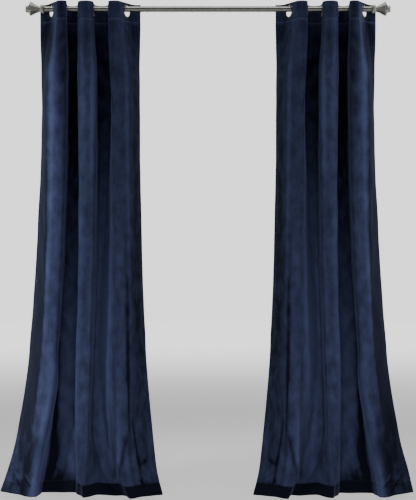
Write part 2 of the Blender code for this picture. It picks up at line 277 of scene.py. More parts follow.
# Painted shade over the turned hem: dark under the inner folds, less so under the outermost fold,
# where more light falls
PAINTED_HEM_SHADES = (-0.15, -1.0)
HEM_SHADE_EDGE = 0.25  # distance across where the one shade gives way to the other

# Noises of the materials: about how many spots to a metre along three axes, which are across
# and down the cloth and through it, and for metal and floor the frame's X, Y and Z
BLOTCHES = (27, 15, 1)
STREAKS = (150, 7, 1)
PILE = (1500, 1100, 1)
SLUBS = (40, 260, 1)
METAL_CLOUDS = (55, 55, 55)
RING_SCRATCHES = (260, 260, 260)
ROD_SCRATCHES = (6, 700, 700)
CASTING_SCRATCHES = (300, 300, 300)
FLOOR_MOTTLE = (1.5, 1.5, 1.5)
# Scales of the wave patterns, which have about 3.2 times as many waves to a metre
WEAVE = 420
TWIST = 900
# Darkest tone of a material, as a share of its own colour
BACK_DARK = 0.6
THREAD_DARK = 0.5
METAL_DARK = 0.55
FLOOR_DARK = 0.97
# Fine relief of a material: its height, and the strength it is shown with
PILE_RELIEF = (0.0006, 0.5)
WEAVE_RELIEF = (0.0003, 0.6)
SCRATCH_RELIEF = (0.0001, 0.35)
STREAK_HEIGHT = 0.5  # weight of the streaks in the pile's relief
SLUB_TONE = 0.7  # weight of the slubs in the woven back's tone
SCRATCH_TONE = 0.35  # weight of the scratches in the metal's tone, added to its clouds
TONE_DROP = 0.2  # by which that sum is then lowered
CLOUD_DULLNESS = 0.16  # how much rougher the metal is where its clouds are palest

# Finial outside the rod: distance out from the rod's end, and distance from axis to flats
FINIAL = (
    (0.0003, 0.0127),
    (0.0062, 0.0193),
    (0.0150, 0.0125),
    (0.0205, 0.0113),
    (0.0240, 0.0118),
    (0.0420, 0.0206),
    (0.0590, 0.0305),
    (0.0628, 0.0300),
    (0.0650, 0.0225),
    (0.0690, 0.0190),
    (0.0702, 0.0145),
    (0.0812, 0.0145),
    (0.0826, 0.0125),
)
FINIAL_ROUNDING = 0.0012
FINIAL_STEP = 0.00045
FINIAL_SEGMENTS = 128
FACET_SHARPNESS = 90  # power of the norm that rounds the finial's edges

# Degrees between two faces past which their edge is drawn sharp
CLOTH_SHARP = 60
TURNED_SHARP = 40
FINIAL_SHARP = 50

# Camera and stage: pixels are those of the photograph's frame
FRAME_HEIGHT = 500
ROD_ROW = 9.2
CENTRE_ROW = 250
FOCAL_PIXELS = 1296
CAMERA_DISTANCE = 5.6
SENSOR = 36
FLOOR_DROP = 0.012  # from the lowest hem to the floor
FLOOR_RADIUS = 14.0
FLOOR_SIDES = 96
GLOW_REACH = (3.5, 9.5)  # distances from the rod's middle between which the floor's glow grows
SHINE_REACH = (0.35, 0.85)  # sines of the elevations between which the overhead shine grows
# Each side light is narrow and aimed just past its own panel's outer edge
LIGHTS = (
    # name, place, target, width and height, spread in degrees
    ("left light", (-1.9, -1.15, -1.10), (-1.0, 0, -1.10), (0.3, 1.7), 30),
    ("right light", (1.9, -1.15, -0.85), (0.95, 0, -0.85), (0.3, 1.6), 30),
    ("front light", (0, -2.6, -1.75), (0, 0, -1.75), (2.4, 0.7), 60),
    ("top light", (0, -0.9, 2.2), (0, 0, 0), (3.0, 0.5), 120),
    ("back light", (0, 3.0, -0.9), (0, 0, -0.9), (2.4, 1.6), 70),
)


def smooth_step(t):
    """From 0 to 1 with level ends: three t squared less two t cubed."""
    t = np.clip(t, 0, 1)
    return t * t * (3 - 2 * t)


def at_drop(table, drop):
    """Row of a table at a drop, on a smooth cubic through the table's rows."""
    table = np.array(table, dtype=float)
    knots, rows = table[:, 0], table[:, 1:]
    slopes = np.gradient(rows, knots, axis=0)
    drop = np.clip(drop, knots[0], knots[-1])
    low = min(int(np.searchsorted(knots, drop, side="right")) - 1, len(knots) - 2)
    step = knots[low + 1] - knots[low]
    t = (drop - knots[low]) / step
    blend = smooth_step(t)
    start_pull = step * (t**3 - 2 * t**2 + t) * slopes[low]
    end_pull = step * (t**3 - t**2) * slopes[low + 1]
    return rows[low] * (1 - blend) + rows[low + 1] * blend + start_pull + end_pull


def running_total(rate, along):
    """Sum of a rate over a distance, from zero at its start."""
    middles = (rate[1:] + rate[:-1]) / 2
    return np.concatenate([[0], np.cumsum(middles * np.diff(along))])


def eyelet_bend(eyelet, next_eyelet):
    """First straight, radius and last straight of the cloth from one eyelet to the next.

    Three linear equations: the lengths along the rod add up to the eyelets' distance, those
    across it to nothing, and the straights and the arc to the cloth's own length.
    """
    (out, angle), (next_out, next_angle) = eyelet, next_eyelet
    a, b = math.radians(angle), math.radians(next_angle)
    known = (
        (math.cos(a), math.sin(a) + math.sin(b), math.cos(b)),
        (-math.sin(a), math.cos(a) - math.cos(b), math.sin(b)),
        (1, a + b, 1),
    )
    return np.linalg.solve(known, (out - next_out, 0, EYELET_STEP))


def header_plan(cloth):
    """Inward and backward place of the header at distances along the cloth.

    The cloth's angle is a broken line along the cloth, and its place is the running total
    of the angle's cosine and sine.
    """
    ends = [0, EDGE_MARGIN - FLAT_REACH]
    angles = [EDGE_ANGLES[0], -EYELETS[0][1]]
    facing = -1
    for number, (eyelet, next_eyelet) in enumerate(zip(EYELETS, EYELETS[1:])):
        straight, radius, last_straight = eyelet_bend(eyelet, next_eyelet)
        start = EDGE_MARGIN + number * EYELET_STEP
        ends += [start + straight, start + EYELET_STEP - last_straight]
        angles += [facing * eyelet[1], -facing * next_eyelet[1]]
        facing = -facing
    ends += [PANEL_WIDTH - EDGE_MARGIN + FLAT_REACH, PANEL_WIDTH]
    angles += [facing * EYELETS[-1][1], EDGE_ANGLES[1]]

    along = np.linspace(0, PANEL_WIDTH, round(PANEL_WIDTH / FINE) + 1)
    angle = np.radians(np.interp(along, ends, angles))
    inward = running_total(np.cos(angle), along)
    back = running_total(np.sin(angle), along)
    inward -= np.interp(EDGE_MARGIN, along, inward) + EYELETS[0][0]
    back -= np.interp(EDGE_MARGIN, along, back)
    return np.interp(cloth, along, inward), np.interp(cloth, along, back)


def rounded_line(corners, rounding, step):
    """A broken line with its corners rounded: each point is its mean over a length of line.

    The mean is the difference of two running totals. The ends are first made longer by
    half that length, so that they stay where they are.
    """
    half = rounding / 2
    heads = corners[[0, -1]] - corners[[1, -2]]
    heads *= half / np.linalg.norm(heads, axis=1, keepdims=True)
    points = np.vstack([corners[0] + heads[0], corners[1:-1], corners[-1] + heads[1]])
    ends = np.concatenate([[0], np.cumsum(np.linalg.norm(np.diff(points, axis=0), axis=1))])
    along = np.linspace(0, ends[-1], round(ends[-1] / step))
    centres = np.linspace(half, ends[-1] - half, round(ends[-1] / step))
    means = []
    for values in points.T:
        total = running_total(np.interp(along, ends, values), along)
        ahead = np.interp(centres + half, along, total)
        behind = np.interp(centres - half, along, total)
        means.append((ahead - behind) / rounding)
    return means


def fold_plan(drop, side, cloth):
    """Inward and backward place of the free folds at distances along the cloth.

    The folds' half depth is halved in on until the section is as long as the cloth is wide.
    """
    outs = at_drop(SECTIONS + (HEM_SECTIONS[side],), drop)
    shares = at_drop(SETBACKS, drop)
    rounding = np.interp(drop, (HEADER_BAND, PANEL_LENGTH), (FOLD_ROUNDING, HEM_ROUNDING))
    low, high = HALF_DEPTHS
    for _ in range(HALVINGS):
        depth = (low + high) / 2
        corners = np.column_stack([-outs, shares * depth])
        inward, back = rounded_line(corners, rounding, FINE)
        steps = np.hypot(np.diff(inward), np.diff(back))
        along = np.concatenate([[0], np.cumsum(steps)])
        low, high = (depth, high) if along[-1] < PANEL_WIDTH else (low, depth)
    return np.interp(cloth, along, inward), np.interp(cloth, along, back)


def hanging_cloth(side, across, down):
    """Middle surface of a panel on a grid of distances across and down.

    The header's plan gives way to the free folds' plan by a smooth step below the header
    band. A step down is the root of the cloth's step squared less the sideways drift squared.
    """
    direction = 1 if side == "left" else -1
    head_in, head_back = header_plan(across)
    rows = []
    for level in down:
        free = smooth_step((level - HEADER_BAND) / SETTLE_BAND)
        fold_in, fold_back = fold_plan(level - HEADER_TOP, side, across)
        inward = head_in * (1 - free) + fold_in * free
        back = head_back * (1 - free) + fold_back * free
        rows.append(np.column_stack([direction * inward, back]))
    plan = np.array(rows)
    drift = np.linalg.norm(np.diff(plan, axis=0), axis=2)
    steps = np.sqrt(np.diff(down)[:, None] ** 2 - drift**2)
    height = HEADER_TOP - np.vstack([np.zeros(len(across)), np.cumsum(steps, axis=0)])
    return np.dstack([plan, height])


def even(start, stop, step):
    """Places from start up to stop, without stop, at the even step nearest to the one given."""
    return np.linspace(start, stop, max(round((stop - start) / step), 1), endpoint=False)


def column_places():
    """Distances across of a panel's columns, with a square of even cells round each eyelet."""
    places = []
    edge = 0
    for number in range(len(EYELETS)):
        centre = EDGE_MARGIN + number * EYELET_STEP
        places.append(even(edge, centre - EYELET_DOWN, CELL))
        places.append(even(centre - EYELET_DOWN, centre + EYELET_DOWN, EYELET_DOWN / SQUARE_CELLS))
        edge = centre + EYELET_DOWN
    places.append(even(edge, PANEL_WIDTH, CELL))
    places.append([PANEL_WIDTH])
    return np.concatenate(places)


def row_places():
    """Distances down of a panel's rows, close together at the seams and at the hem."""
    header = HEADER_BAND - SEAM_HALF_WIDTH
    hem = PANEL_LENGTH - BOTTOM_HEM - SEAM_HALF_WIDTH
    seam = 2 * SEAM_HALF_WIDTH
    return np.concatenate(
        [
            even(0, 2 * EYELET_DOWN, EYELET_DOWN / SQUARE_CELLS),
            even(2 * EYELET_DOWN, header, CELL),
            even(header, header + seam, seam / SEAM_ROWS),
            even(header + seam, HEM_ZONE, BODY_ROW),
            even(HEM_ZONE, hem, HEM_ROW),
            even(hem, hem + seam, seam / SEAM_ROWS),
            even(hem + seam, PANEL_LENGTH, HEM_ROW),
            [PANEL_LENGTH],
        ]
    )


def opened_holes(across, down):
    """Grid drawn round the eyelets' holes, and which of its cells stay.

    Round each eyelet, concentric squares of the grid turn into circles: the radius goes from
    the point's own at the outer square to that of the hole at the inner one.
    """
    u, v = np.meshgrid(across, down)
    keep = np.ones((len(down) - 1, len(across) - 1), dtype=bool)
    hole_square = EYELET_DOWN * HOLE_CELLS / SQUARE_CELLS
    hole_radius = EYELET_HOLE + EYELET_WALL + GAP
    middle_u = (u[1:, 1:] + u[:-1, :-1]) / 2
    middle_v = (v[1:, 1:] + v[:-1, :-1]) / 2
    for number in range(len(EYELETS)):
        centre = EDGE_MARGIN + number * EYELET_STEP
        reach = np.maximum(abs(middle_u - centre), abs(middle_v - EYELET_DOWN))
        keep &= reach > hole_square
        du, dv = u - centre, v - EYELET_DOWN
        square = np.maximum(abs(du), abs(dv))
        radius = np.maximum(np.hypot(du, dv), FINE)
        share = np.clip((EYELET_DOWN - square) / (EYELET_DOWN - hole_square), 0, 1)
        wanted = radius * (1 - share) + square * hole_radius / hole_square * share
        u = centre + du * wanted / radius
        v = EYELET_DOWN + dv * wanted / radius
    return u, v, keep


def line_relief(u, v, rows):
    """Sum of creases: across each a bell curve, and along each a smooth rise and fall."""
    total = np.zeros_like(u)
    for start_u, start_v, end_u, end_v, half_width, height in rows:
        length = math.hypot(end_u - start_u, end_v - start_v)
        run_u, run_v = (end_u - start_u) / length, (end_v - start_v) / length
        along = ((u - start_u) * run_u + (v - start_v) * run_v) / length
        aside = (u - start_u) * run_v - (v - start_v) * run_u
        fade = smooth_step(along * CREASE_PARTS) * smooth_step((1 - along) * CREASE_PARTS)
        total += height * fade * np.exp(-((aside / half_width) ** 2))
    return total


def fan_rows():
    """Creases that fan out below the eyelets, as mirror images at every second one."""
    rows = []
    start = EYELET_DOWN + EYELET_FLANGE
    for number in range(len(EYELETS)):
        centre = EDGE_MARGIN + number * EYELET_STEP
        way = 1 if number % 2 == 0 else -1
        for lean, length, height in FANS:
            end_u = centre + way * (lean + EYELET_HOLE)
            rows.append((centre + way * lean, start, end_u, start + length, FAN_HALF_WIDTH, height))
    return tuple(rows)


def seam_relief(u, v):
    """Cloth drawn in at the stitches: a bell-shaped trough along each seam."""
    seams = (
        v - HEADER_BAND,
        v - (PANEL_LENGTH - BOTTOM_HEM),
        u - SIDE_HEM,
        u - (PANEL_WIDTH - SIDE_HEM),
    )
    return sum(np.exp(-((distance / SEAM_HALF_WIDTH) ** 2)) for distance in seams)


def cloth_relief(u, v, settings):
    """How far the cloth stands out from the plain folds: crests, swells, creases and seams.

    A crest is its height times the squared cosine of the distance from it. A swell is its
    height times the sine of the distance across, which a second sine of the distance down
    bends, times a sine of the distance down. Round the eyelets the cloth stays flat.
    """
    turn = 2 * math.pi
    swells = np.zeros_like(u)
    for centre, height in CRESTS:
        reach = np.clip((u - centre) / CREST_HALF_WIDTH, -1, 1)
        swells += height * np.cos(reach * math.pi / 2) ** 2
    for height, pitch_u, pitch_v, shift_u, shift_v in SWELLS:
        bend = SWELL_BEND * np.sin(turn * (v / (SWELL_BEND_PITCH * pitch_v) + shift_u))
        across = np.sin(turn * (u / pitch_u + shift_u + bend))
        swells += height * across * np.sin(turn * (v / pitch_v + shift_v))
    free = smooth_step((v - HEADER_BAND) / (HEADER_BAND / 2))
    from_eyelet = abs((u - EDGE_MARGIN + EYELET_STEP / 2) % EYELET_STEP - EYELET_STEP / 2)
    clear = smooth_step((np.hypot(from_eyelet, v - EYELET_DOWN) - FLAT_REACH) / EASE_WIDTH)
    creases = line_relief(u, v, CREASES + PUCKERS + fan_rows())
    relief = (swells * free + creases * clear) * settings.crease_strength
    return relief - settings.seam_depth * seam_relief(u, v)


def painted_light_and_crush(u, v):
    """Painted light and shade on the pile: pale ridges and header seam, dark troughs and hem, and
    strokes that are partly crushed pile.
    """
    shade = PAINTED_CREASE_SHADE * line_relief(u, v, CREASES + PUCKERS)
    for centre_u, centre_v, half_width, half_length, change in CRUSH_AND_PAINTED_LIGHT_STROKES:
        distance = ((u - centre_u) / half_width) ** 2 + ((v - centre_v) / half_length) ** 2
        shade += change * np.exp(-distance)
    outer, inner = PAINTED_HEM_SHADES
    hem = outer + (inner - outer) * smooth_step((u - HEM_SHADE_EDGE) / EASE_WIDTH)
    shade += hem * smooth_step((v - PANEL_LENGTH + BOTTOM_HEM) / EASE_WIDTH + 0.5)
    return shade + SEAM_SHADE * np.exp(-(((v - HEADER_BAND) / SEAM_HALF_WIDTH) ** 2))


def unit(vectors):
    """Vectors of length one."""
    return vectors / np.linalg.norm(vectors, axis=-1, keepdims=True)


def mesh_piece(name, points, faces, materials):
    """A finished piece from points and faces, riding with the part."""
    mesh = bpy.data.meshes.new(name)
    mesh.from_pydata(points, [], faces)
    for material in materials:
        mesh.materials.append(material)
    mesh.shade_smooth()
    piece = bpy.data.objects.new(name, mesh)
    bpy.context.scene.collection.objects.link(piece)
    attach(piece, "root")
    return piece


def rim_faces(keep, grid, back_offset):
    """Quads that join the front to the back all round the cloth and round each hole.

    An edge of the grid is on the rim where just one of its two cells stays.
    """
    wide = np.pad(keep, 1)
    quads = []
    above, below = wide[:-1, 1:-1], wide[1:, 1:-1]
    left, right = wide[1:-1, :-1], wide[1:-1, 1:]
    for inside, outside, first, last in (
        (below, above, grid[:, :-1], grid[:, 1:]),
        (above, below, grid[:, 1:], grid[:, :-1]),
        (left, right, grid[:-1, :], grid[1:, :]),
        (right, left, grid[1:, :], grid[:-1, :]),
    ):
        rim = inside & ~outside
        a, b = first[rim], last[rim]
        quads.append(np.column_stack([a, b, b + back_offset, a + back_offset]))
    return np.concatenate(quads)


def panel_grid(side, settings):
    """Front and back points of a panel, with its cloth distances and the cells that stay."""
    across, down = column_places(), row_places()
    middle = hanging_cloth(side, across, down)
    u, v, keep = opened_holes(across, down)
    direction = 1 if side == "left" else -1
    header = down <= 2 * EYELET_DOWN
    head_in, head_back = header_plan(u[header])
    middle[header] = np.dstack([direction * head_in, head_back, HEADER_TOP - v[header]])

    back = unit(np.cross(np.gradient(middle, axis=1), np.gradient(middle, axis=0))) * direction
    front = middle - back * cloth_relief(u, v, settings)[:, :, None]
    half = settings.thickness / 2
    turned_in = np.minimum.reduce([u, PANEL_WIDTH - u, (PANEL_LENGTH - v) * SIDE_HEM / BOTTOM_HEM])
    extra = settings.hem_extra * (1 - smooth_step((turned_in - SIDE_HEM) / SEAM_HALF_WIDTH))
    extra[v < HEADER_BAND] = 0
    return front - back * half, front + back * (half + extra)[:, :, None], u, v, keep


def make_panel(side, settings, materials):
    """A panel as one closed sheet on the folds of its solid, with pile in front and in hems."""
    front, behind, u, v, keep = panel_grid(side, settings)
    rows, columns = u.shape
    grid = np.arange(rows * columns).reshape(rows, columns)
    corners = (grid[:-1, :-1], grid[1:, :-1], grid[1:, 1:], grid[:-1, 1:])
    cells = np.stack([corner[keep] for corner in corners], axis=-1)
    rims = rim_faces(keep, grid, rows * columns)
    faces = np.vstack([cells, cells[:, ::-1] + rows * columns, rims])
    if side == "right":
        faces = faces[:, ::-1]
    points = np.vstack([front.reshape(-1, 3), behind.reshape(-1, 3)])

    used = np.zeros(len(points), dtype=bool)
    used[faces.ravel()] = True
    renumber = np.cumsum(used) - 1
    faces = renumber[faces]
    name = f"velvet_{side}"
    piece = mesh_piece(name, points[used], faces, materials)

    cloth = np.tile(np.column_stack([u.ravel(), v.ravel()]), (2, 1))[used]
    # painted light and shade on every point, with some crushed pile, for the velvet's colour
    shade = np.tile(painted_light_and_crush(u, v).ravel(), 2)[used]
    uv = piece.data.uv_layers.new(name="cloth")
    uv.data.foreach_set("uv", cloth[faces.ravel()].astype(np.float32).ravel())
    crush_and_painted_light = piece.data.attributes.new("crush_and_painted_light", "FLOAT", "POINT")
    crush_and_painted_light.data.foreach_set("value", shade.astype(np.float32))

    middle = cloth[faces].mean(axis=1)
    in_hem = (middle[:, 0] < SIDE_HEM) | (middle[:, 0] > PANEL_WIDTH - SIDE_HEM)
    in_hem |= (middle[:, 1] < HEADER_BAND) | (middle[:, 1] > PANEL_LENGTH - BOTTOM_HEM)
    is_back = np.zeros(len(faces), dtype=bool)
    is_back[len(cells) : 2 * len(cells)] = True
    piece.data.polygons.foreach_set("material_index", (is_back & ~in_hem).astype(np.int32))
    piece.data.set_sharp_from_angle(angle=math.radians(CLOTH_SHARP))
    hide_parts(f"curtain_{side}")


def on_surface(surface, u_grid, v_grid, u, v):
    """Points of a panel's surface at cloth distances, between the four nearest of its grid."""
    columns, rows = u_grid[-1], v_grid[:, 0]
    column = np.clip(np.searchsorted(columns, u, side="right") - 1, 0, len(columns) - 2)
    row = np.clip(np.searchsorted(rows, v, side="right") - 1, 0, len(rows) - 2)
    s = ((u - columns[column]) / (columns[column + 1] - columns[column]))[:, None]
    t = ((v - rows[row]) / (rows[row + 1] - rows[row]))[:, None]
    upper = surface[row, column] * (1 - s) + surface[row, column + 1] * s
    lower = surface[row + 1, column] * (1 - s) + surface[row + 1, column + 1] * s
    return upper * (1 - t) + lower * t


def stitch_lines():
    """Cloth distances of both ends of every stitch, line by line."""
    half = STITCH_LENGTH / 2
    starts, ends = [], []
    for down in (HEADER_BAND, PANEL_LENGTH - BOTTOM_HEM):
        places = np.arange(SIDE_HEM, PANEL_WIDTH - SIDE_HEM, STITCH_PITCH)
        level = np.full_like(places, down)
        starts.append(np.column_stack([places - half, level]))
        ends.append(np.column_stack([places + half, level]))
    for across in (SIDE_HEM, PANEL_WIDTH - SIDE_HEM):
        places = np.arange(HEADER_BAND + STITCH_PITCH, PANEL_LENGTH - BOTTOM_HEM, STITCH_PITCH)
        column = np.full_like(places, across)
        starts.append(np.column_stack([column, places - half]))
        ends.append(np.column_stack([column, places + half]))
    return np.vstack(starts), np.vstack(ends)


def make_stitches(side, settings, material):
    """The sewing of a panel: small six-sided spindles that lie in the seams' troughs.

    A spindle is three rings of points, at its start, middle and end: the thread's radius
    times cosine and sine, on two directions square to the stitch.
    """
    front, behind, u, v, _ = panel_grid(side, settings)
    starts, ends = stitch_lines()
    first = on_surface(front, u, v, starts[:, 0], starts[:, 1])
    last = on_surface(front, u, v, ends[:, 0], ends[:, 1])
    inner = on_surface(behind, u, v, starts[:, 0], starts[:, 1])
    outward = unit(first - inner)
    along = unit(last - first)
    aside = unit(np.cross(along, outward))
    lift = outward * STITCH_RADIUS * STITCH_LIFT
    turns = np.arange(6) * math.pi / 3
    rings = []
    for share, width in STITCH_RINGS:
        centre = first * (1 - share) + last * share + lift
        for turn in turns:
            radial = outward * math.cos(turn) + aside * math.sin(turn)
            rings.append(centre + radial * STITCH_RADIUS * width)
    points = np.stack(rings, axis=1)
    side_faces = []
    for ring in (0, 6):
        for step in range(6):
            after = (step + 1) % 6
            side_faces.append((ring + step, ring + after, ring + 6 + after, ring + 6 + step))
    caps = [(0, 5, 4, 3), (0, 3, 2, 1), (12, 13, 14, 15), (12, 15, 16, 17)]
    shape = np.array(side_faces + caps)
    offsets = np.arange(len(points))[:, None, None] * points.shape[1]
    faces = (shape[None] + offsets).reshape(-1, 4)
    return mesh_piece(f"stitches_{side}", points.reshape(-1, 3), faces, [material])


def turned_piece(name, profile, segments, material, axis_turn, centre):
    """A metal piece: a closed profile of (distance along, radius) turned about the X axis.

    A point is the radius times the sine and cosine of its turn. The whole is then turned by
    an angle about the vertical and moved to its centre.
    """
    turns = np.arange(segments) * 2 * math.pi / segments
    along = np.repeat(profile[:, 0][:, None], segments, axis=1)
    across = profile[:, 1][:, None] * np.sin(turns)
    height = profile[:, 1][:, None] * np.cos(turns)
    cosine, sine = math.cos(axis_turn), math.sin(axis_turn)
    points = np.dstack([along * cosine - across * sine, along * sine + across * cosine, height])
    points = points + np.array(centre)
    grid = np.arange(len(profile) * segments).reshape(len(profile), segments)
    after = np.roll(grid, -1, axis=0)
    faces = np.stack([grid, np.roll(grid, -1, axis=1), np.roll(after, -1, axis=1), after], axis=-1)
    piece = mesh_piece(name, points.reshape(-1, 3), faces.reshape(-1, 4), [material])
    piece.data.set_sharp_from_angle(angle=math.radians(TURNED_SHARP))
    return piece


def ring_profile():
    """Section of an eyelet: two domed faces, the bore between them and the cloth's groove.

    A dome rises by a power of the sine, and runs from the flange's rim to the bore by the cosine.
    """
    groove = HALF_THICKNESS + GAP
    middle = (EYELET_FLANGE + EYELET_HOLE) / 2
    half_width = (EYELET_FLANGE - EYELET_HOLE) / 2
    turns = np.linspace(0, math.pi, DOME_POINTS)
    rise = groove + (EYELET_HALF_DEPTH - groove) * np.sin(turns) ** DOME_POWER
    radius = middle + half_width * np.cos(turns)
    front = np.column_stack([rise, radius])
    back = np.column_stack([-rise, radius])[::-1]
    wall = EYELET_HOLE + EYELET_WALL
    inside = np.array([(-groove, wall), (groove, wall)])
    return np.vstack([front, back, inside])[::-1]


def finial_points(profile, segments):
    """Faceted finial about X: rings of rounded octagons.

    An octagon's radius at a turn is its distance to flats over a norm of the cosines to its
    flats' directions: the root, of a high power, of the sum of their powers.
    """
    turns = np.arange(segments) * 2 * math.pi / segments
    flats = np.arange(FINIAL_SIDES) * 2 * math.pi / FINIAL_SIDES
    cosines = np.maximum(np.cos(turns[:, None] - flats[None]), 0)
    stretch = (cosines**FACET_SHARPNESS).sum(axis=1) ** (-1 / FACET_SHARPNESS)
    along = np.repeat(profile[:, 0][:, None], segments, axis=1)
    radius = profile[:, 1][:, None] * stretch
    return np.dstack([along, radius * np.sin(turns), radius * np.cos(turns)])


def make_finial(side, material):
    """A cast finial with crisp but softened edges, and the spigot that plugs the rod."""
    spigot = (ROD_RADIUS - ROD_WALL) * math.cos(math.pi / ROD_SIDES) - GAP
    head = np.column_stack(rounded_line(np.array(FINIAL), FINIAL_ROUNDING, FINIAL_STEP))
    tip = (-SPIGOT_LENGTH, spigot * SPIGOT_TAPER)
    plug = (tip, (SPIGOT_LEAD - SPIGOT_LENGTH, spigot), (GAP, spigot))
    points = finial_points(np.vstack([plug, head]), FINIAL_SEGMENTS)
    direction = -1 if side == "left" else 1
    points[:, :, 0] = direction * (ROD_HALF_LENGTH + points[:, :, 0])
    rings, segments = points.shape[:2]
    grid = np.arange(rings * segments).reshape(rings, segments)
    around = np.roll(grid, -1, axis=1)
    quads = np.stack([grid[:-1], grid[1:], around[1:], around[:-1]], axis=-1).reshape(-1, 4)
    caps = [tuple(grid[0]), tuple(grid[-1][::-1])]
    faces = quads.tolist() + caps
    if side == "left":
        faces = [tuple(reversed(face)) for face in faces]
    piece = mesh_piece(f"pewter_finial_{side}", points.reshape(-1, 3), faces, [material])
    piece.data.set_sharp_from_angle(angle=math.radians(FINIAL_SHARP))
    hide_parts(f"finial_{side}")


def principled(name, **values):
    """A Principled material with values set on its own sockets, and its tree and shader."""
    material = bpy.data.materials.new(name)
    material.use_nodes = True
    shader = material.node_tree.nodes["Principled BSDF"]
    for socket, value in values.items():
        shader.inputs[socket.replace("_", " ")].default_value = value
    return material, material.node_tree, shader


def texture(tree, kind, source, scale, **values):
    """A texture node, read at a source's coordinates stretched by a scale."""
    mapping = tree.nodes.new("ShaderNodeMapping")
    mapping.inputs["Scale"].default_value = scale
    tree.links.new(source, mapping.inputs["Vector"])
    node = tree.nodes.new(kind)
    for socket, value in values.items():
        node.inputs[socket].default_value = value
    tree.links.new(mapping.outputs["Vector"], node.inputs["Vector"])
    return node.outputs[0]


def scaled(colour, share):
    """A colour with its values times a share."""
    return tuple(value * share for value in colour)


def blend_colour(tree, factor, first, second):
    """Mix of two colours by a factor."""
    mix = tree.nodes.new("ShaderNodeMix")
    mix.data_type = "RGBA"
    mix.inputs[6].default_value = (*first, 1)
    mix.inputs[7].default_value = (*second, 1)
    tree.links.new(factor, mix.inputs[0])
    return mix.outputs[2]


def combine(tree, operation, first, second, third=None, clamp=False):
    """A sum, product or the like of two or three sockets or numbers."""
    node = tree.nodes.new("ShaderNodeMath")
    node.operation = operation
    node.use_clamp = clamp
    for socket, value in zip(node.inputs, (first, second, third)):
        if value is None:
            continue
        if isinstance(value, (int, float)):
            socket.default_value = value
        else:
            tree.links.new(value, socket)
    return node.outputs[0]


def map_range(tree, value, reach, results):
    """A smooth step of a socket's value, from one result to the other over a reach."""
    node = tree.nodes.new("ShaderNodeMapRange")
    node.interpolation_type = "SMOOTHSTEP"
    for socket, number in zip(node.inputs[1:5], (*reach, *results)):
        socket.default_value = number
    tree.links.new(value, node.inputs["Value"])
    return node.outputs["Result"]


def bump(tree, height, relief, shader):
    """Relief of a shader from a pattern, with the pattern's height and strength."""
    node = tree.nodes.new("ShaderNodeBump")
    for socket, value in zip(("Distance", "Strength"), relief):
        node.inputs[socket].default_value = value
    tree.links.new(height, node.inputs["Height"])
    tree.links.new(node.outputs["Normal"], shader.inputs["Normal"])


def cloth_coordinates(tree):
    """The cloth's own distances across and down."""
    node = tree.nodes.new("ShaderNodeUVMap")
    node.uv_map = "cloth"
    return node.outputs["UV"]


def velvet(settings):
    """Short velvet pile: dark face on, with a sheen at the folds' edges, blotchy tone, and painted
    light and shade in its colour.
    """
    material, tree, shader = principled(
        "velvet pile",
        Roughness=0.9,
        Specular_IOR_Level=0.1,
        Sheen_Weight=settings.sheen_weight,
        Sheen_Roughness=settings.sheen_roughness,
        Sheen_Tint=(*settings.sheen_colour, 1),
    )
    cloth = cloth_coordinates(tree)
    blotches = texture(tree, "ShaderNodeTexNoise", cloth, BLOTCHES, Scale=1.0, Detail=4)
    streaks = texture(tree, "ShaderNodeTexNoise", cloth, STREAKS, Scale=1.0, Detail=3)
    pile = texture(tree, "ShaderNodeTexNoise", cloth, PILE, Scale=1.0, Detail=2)
    # painted light and shade from the panel's points, with some crushed pile, added to the random
    # blotches, streaks and pile
    crush_and_painted_light = tree.nodes.new("ShaderNodeAttribute")
    crush_and_painted_light.attribute_name = "crush_and_painted_light"
    shade = crush_and_painted_light.outputs["Fac"]
    for noise, weight in zip((blotches, streaks, pile), NAP_WEIGHTS):
        shade = combine(tree, "MULTIPLY_ADD", noise, weight, shade)
    middle = 0.5 - sum(NAP_WEIGHTS) / 2
    shade = combine(tree, "ADD", shade, middle, clamp=True)
    colour = blend_colour(tree, shade, settings.pile_shade_colour, settings.pile_colour)
    tree.links.new(colour, shader.inputs["Base Color"])
    height = combine(tree, "MULTIPLY_ADD", streaks, STREAK_HEIGHT, pile)
    bump(tree, height, PILE_RELIEF, shader)
    return material


def woven_back(settings):
    """The velvet's plain woven back: fine crossing threads, dull and even."""
    material, tree, shader = principled("woven back", Roughness=0.95, Sheen_Weight=0.2)
    cloth = cloth_coordinates(tree)
    warp = texture(tree, "ShaderNodeTexWave", cloth, (1, 0, 1), Scale=WEAVE, Distortion=0.4)
    weft = texture(tree, "ShaderNodeTexWave", cloth, (0, 1, 1), Scale=WEAVE, Distortion=0.4)
    weft.node.bands_direction = "Y"
    slubs = texture(tree, "ShaderNodeTexNoise", cloth, SLUBS, Scale=1.0, Detail=3)
    threads = combine(tree, "MULTIPLY", warp, weft)
    shade = combine(tree, "MULTIPLY_ADD", slubs, SLUB_TONE, threads)
    pale = settings.back_colour
    colour = blend_colour(tree, shade, scaled(pale, BACK_DARK), pale)
    tree.links.new(colour, shader.inputs["Base Color"])
    bump(tree, threads, WEAVE_RELIEF, shader)
    return material


def thread(settings):
    """Matt sewing thread in the velvet's colour."""
    material, tree, shader = principled("sewing thread", Roughness=0.6)
    place = tree.nodes.new("ShaderNodeTexCoord").outputs["Object"]
    twist = texture(tree, "ShaderNodeTexWave", place, (1, 1, 1), Scale=TWIST, Distortion=1.0)
    pale = settings.thread_colour
    colour = blend_colour(tree, twist, scaled(pale, THREAD_DARK), pale)
    tree.links.new(colour, shader.inputs["Base Color"])
    return material


